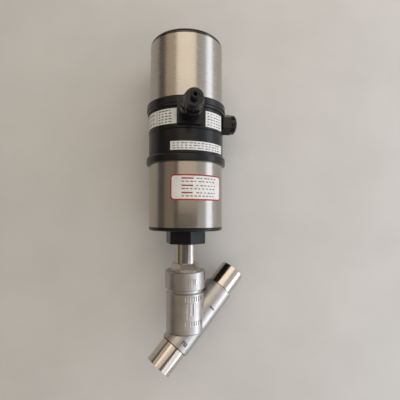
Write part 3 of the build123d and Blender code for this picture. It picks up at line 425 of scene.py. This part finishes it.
def rows_of_bars(name, finish, body, slot, **sizes):
    """One block of bars as a plain mesh. Lengths in millimetres, the start angle in degrees."""
    carrier = bpy.data.objects.new(name, bpy.data.meshes.new(name))
    bpy.context.scene.collection.objects.link(carrier)
    modifier = carrier.modifiers.new("bar_rows", "NODES")
    modifier.node_group = bar_rows
    no_lengths = {"Rows", "Columns", "Seed", "Shortest"}
    for item in bar_rows.interface.items_tree:
        key = item.name.lower().replace(" ", "_")
        if item.name == "Finish":
            modifier[item.identifier] = finish
        elif item.name == "Start Angle":
            modifier[item.identifier] = radians(sizes[key])
        elif item.in_out == "INPUT":
            modifier[item.identifier] = sizes[key] if item.name in no_lengths else sizes[key] * mm
    bpy.context.view_layer.update()
    evaluated = carrier.evaluated_get(bpy.context.evaluated_depsgraph_get())
    mesh = bpy.data.meshes.new_from_object(evaluated)
    carrier.modifiers.clear()
    carrier.data = mesh
    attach(carrier, body)
    return carrier


# ---------------------------------------------------------------- labels, ruled where the printing goes
wall_step = 2.05                                    # the cover's wall stands this far in from its ring
band_step = 1.9                                     # the band of the head's base, likewise
flange_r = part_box("actuator_cover")[1].x / mm       # the ring that overhangs the sleeve
cover_wall_r = flange_r - wall_step
band_r = flange_r - band_step
sleeve_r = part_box("actuator_sleeve")[1].x / mm
film = 0.12                                         # thickness of a label
print_level = 1.6                                   # in films above the sleeve, to the middle of the print
print_r = sleeve_r + film * print_level
rule_pitch = 3.4
rule_length = 2.9
shortest_rule = 0.45                                # share of the full length

curved_plate("sleeve_label_border", sleeve_r, (-138.5, -53.6), (114.0, 134.8), film, 3.0,
             red_vinyl, "actuator")
curved_plate("sleeve_label", sleeve_r + film, (-136.5, -55.6), (115.2, 133.6), film / 2, 2.2,
             white_vinyl, "actuator")
curved_plate("strip_label", cover_wall_r, (-138.7, -50.0), (154.2, 161.3), film, 0.3,
             white_vinyl, "actuator")
curved_plate("head_label_left", band_r, (-202.0, -128.0), (175.5, 188.0), film, 0.3,
             white_vinyl, "head")
curved_plate("head_label_right", band_r, (-87.5, -50.8), (174.0, 187.0), film, 0.3,
             white_vinyl, "head")
curved_plate("head_label_divider", band_r + film, (-163.0, -162.2), (176.2, 187.3), film / 2, 0.0,
             grey_print, "head")

rows_of_bars("sleeve_label_headings", red_vinyl, "actuator", "black_plastic",
             rows=3, columns=1, row_pitch=5.8, column_pitch=1.0, bar_length=10.0, bar_height=1.1,
             bar_depth=film / 2, shortest=0.85, radius=print_r, start_angle=-122.0, level=125.8, seed=2)
# name, body, rows, columns, row pitch, bar height, radius, first angle, middle level, seed
for name, body, rows, columns, row_pitch, bar_height, radius, start_angle, level, seed in (
    ("sleeve_label_rules_beside", "actuator", 3, 6, 5.8, 0.8, print_r, -101.0, 125.8, 4),
    ("sleeve_label_rules_below", "actuator", 3, 9, 5.8, 0.8, print_r, -122.0, 123.2, 5),
    ("strip_label_rules", "actuator", 3, 13, 2.0, 0.7, cover_wall_r + film, -135.0, 157.7, 6),
    ("head_label_left_rules", "head", 5, 4, 2.3, 0.9, band_r + film, -159.0, 181.8, 7),
    ("head_label_edge_rules", "head", 3, 5, 3.6, 0.8, band_r + film, -197.0, 181.8, 8),
    ("head_label_right_rules", "head", 5, 5, 2.3, 0.7, band_r + film, -84.5, 180.5, 9),
):
    rows_of_bars(name, grey_print, body, "grey_plastic", rows=rows, columns=columns, row_pitch=row_pitch,
                 column_pitch=rule_pitch, bar_length=rule_length, bar_height=bar_height,
                 bar_depth=film / 2, shortest=shortest_rule, radius=radius, start_angle=start_angle,
                 level=level, seed=seed)

# ---------------------------------------------------------------- plain strokes raised on the casting
# the strokes take a lighter finish than the casting: painted highlight
collar_r = 17.6
neck_r = 16.5
run_r = 13.0
stroke_width = 0.9
stroke_depth = 1.2         # half of it is sunk
# name, columns, column pitch, bar height, shortest share, radius, first angle, middle level, seed
for name, columns, column_pitch, bar_height, shortest, radius, start_angle, level, seed in (
    ("collar_strokes", 4, 1.9, 4.4, 0.9, collar_r, -106.0, 46.2, 1),
    ("neck_stroke_long", 1, 1.0, 13.0, 1.0, neck_r, -112.0, 22.2, 1),
    ("neck_stroke_short", 2, 3.0, 9.8, 1.0, neck_r, -101.0, 23.4, 1),
    ("neck_strokes_upper", 9, 2.1, 3.8, 0.7, neck_r, -117.0, 31.8, 3),
    ("neck_strokes_lower", 9, 2.1, 3.4, 0.7, neck_r, -117.0, 11.8, 4),
):
    rows_of_bars(name, painted_highlight_metal, "body", "cast_steel", rows=1, columns=columns, row_pitch=1.0,
                 column_pitch=column_pitch, bar_length=stroke_width, bar_height=bar_height,
                 bar_depth=stroke_depth, shortest=shortest, radius=radius, start_angle=start_angle,
                 level=level, seed=seed)

# the ports' plain numbers, 1 on the upper arm and 2 on the lower one, painted dark as shade on the raised
# marks
number_height = 0.4
raised_strokes("port_number_1", run_r, [(28.5, 29.4, -16, 7)],
               number_height, painted_shade_metal, "body")
raised_strokes("port_number_2", run_r, [(-9.4, -6.2, 0.8, 3), (-9.4, -8.8, -6, 1), (-9.4, -6.2, -7.5, -5.3),
                                        (-6.8, -6.2, -14, -7), (-9.4, -6.2, -16, -13.8)],
               number_height, painted_shade_metal, "body")

# dark ring at each weld between casting and tube: painted shadow of the step there
tube_r = 11.5
seam_height = 0.2
seam_width = 0.7
for name, place, way in (("weld_seam_lower", -14.0, -1), ("weld_seam_upper", 49.0, 1)):
    far = place + way * seam_width
    inner, outer = tube_r - seam_height, tube_r + seam_height
    turned_piece(name, [(inner, place), (outer, place), (outer, far), (inner, far)],
                 painted_shade_metal, "body", axis=pipe_out)

# crown of the cap, fuller than the plain solid under it
cap_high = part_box("head_cap")[1]
crown_gap = 0.05           # clear of the solid's side
crown_reach_down = 2.7     # below the solid's top
crown_wall = 1.2           # upright part of the crown's side
crown_round = 3.2
crown_bow = 0.1            # how far its middle stands above its edge, inside and out
crown_r = cap_high.x / mm + crown_gap
foot = cap_high.z / mm - crown_reach_down
shoulder = foot + crown_wall
crown_profile = [(0, foot + crown_bow), (crown_r, foot)]
for degrees in range(0, 91, 10):
    turn = radians(degrees)
    crown_profile.append((crown_r - crown_round * (1 - cos(turn)), shoulder + crown_round * sin(turn)))
crown_profile.append((0, shoulder + crown_round + crown_bow))
turned_piece("cap_crown", crown_profile, finishes["smoked_cap"], "head")

# ---------------------------------------------------------------- stage, light and camera
stage_gap = 39.0 * mm      # from the stem to the board that the valve lies against
stage_half = 1.6           # half the board's width, metres


def pale_board():
    """The pale board that the valve lies against. From behind the eye sees through it."""
    out = -around(camera_side, 1.0)
    side = Vector((-out.y, out.x, 0))
    centre = out * stage_gap + Vector((0, 0, (cad_low.z + cad_high.z) / 2))
    corners = [centre + side * (u * stage_half) + Vector((0, 0, v * stage_half))
               for u, v in ((-1, -1), (1, -1), (1, 1), (-1, 1))]
    mesh = bpy.data.meshes.new("pale_board")
    mesh.from_pydata(corners, [], [(0, 1, 2, 3)])
    board = bpy.data.objects.new("pale_board", mesh)
    bpy.context.scene.collection.objects.link(board)
    if mesh.polygons[0].normal.dot(out) > 0:
        mesh.flip_normals()
    material, tree, shader, coords = start_finish("pale_painted_board", {"Roughness": 0.8})
    clouds = mottle(tree, coords, 60.0)
    paint(tree, shader, clouds, "#cfcecb", "#d6d5d2")
    seen = add(tree, "ShaderNodeNewGeometry").outputs["Backfacing"]
    clear = add(tree, "ShaderNodeBsdfTransparent").outputs[0]
    mixed = add(tree, "ShaderNodeMixShader", {0: seen, 1: shader.outputs[0], 2: clear})
    tree.links.new(mixed.outputs[0], tree.nodes["Material Output"].inputs["Surface"])
    mesh.materials.append(material)


def lamp(name, turn, reach, levels, width, colour, radiance, mirrored=True):
    """A soft rectangular card of light that faces the stem.

    It is turned about the stem from the camera's side by an angle in degrees. Its power is what gives
    its face the radiance. One that is not mirrored lights the valve but is not seen in its shine."""
    low, high = levels
    light = bpy.data.lights.new(name, "AREA")
    light.shape = "RECTANGLE"
    light.size = width
    light.size_y = high - low
    light.color = linear(colour)[:3]
    light.energy = radiance * pi * width * (high - low)
    standing = bpy.data.objects.new(name, light)
    standing.location = around(camera_side + radians(turn), reach, (low + high) / 2)
    standing.rotation_euler = around(camera_side + radians(turn), -1.0).to_track_quat("-Z", "Y").to_euler()
    standing.visible_camera = False
    standing.visible_glossy = mirrored
    bpy.context.scene.collection.objects.link(standing)


pale_board()
# name, turn from the camera's side, distance, lower and upper level, width (metres), colour, radiance
for row in (
    ("warm_above", 0, 1.0, (0.50, 1.35), 1.20, "#fff2e0", 1.38),
    ("warm_middle", 6, 1.0, (0.14, 0.49), 1.10, "#ffeeda", 0.74),
    ("warm_below", -14, 1.0, (-1.00, -0.22), 0.80, "#ffe6cc", 0.38),
    ("grey_below", 18, 0.95, (-0.90, -0.12), 0.62, "#faf4ec", 0.60),
    ("grey_room", 50, 0.9, (-0.05, 1.20), 0.45, "#f6f3ee", 0.55),
    ("window_below", 62, 0.75, (-0.80, -0.05), 0.90, "#f3f4f8", 1.10),
    ("brown_wall_above", -50, 0.95, (0.50, 1.35), 0.55, "#ffe6c8", 0.52),
    ("brown_wall_below", -50, 0.95, (-0.90, 0.49), 0.55, "#ffdcb4", 0.20),
    ("cool_window", 76, 0.75, (-0.65, 0.95), 0.32, "#e8f0ff", 2.2),
):
    lamp(*row)
lamp("soft_fill", 10, 1.3, (-0.6, 1.2), 1.8, "#f6f4f2", 0.45, mirrored=False)

world = bpy.data.worlds.new("studio")
bpy.context.scene.world = world
world.use_nodes = True
room = world.node_tree.nodes["Background"]
room.inputs["Color"].default_value = linear("#a8a49e")
room.inputs["Strength"].default_value = 0.3

camera_data = bpy.data.cameras.new("camera")
camera_data.sensor_width = 36.0      # millimetres, as the lens
camera_data.lens = 28.12
camera = bpy.data.objects.new("camera", camera_data)
bpy.context.scene.collection.objects.link(camera)
camera_place = Vector((-122.8, -250.5, 102.6)) * mm
aim_point = Vector((11.2, -6.2, 115.7)) * mm
camera_roll = radians(0.22)
aimed = (aim_point - camera_place).to_track_quat("-Z", "Y").to_matrix()
camera.rotation_euler = (aimed @ Matrix.Rotation(camera_roll, 3, "Z")).to_euler()
camera.location = camera_place
bpy.context.scene.camera = camera

bpy.context.scene.view_settings.view_transform = "Standard"
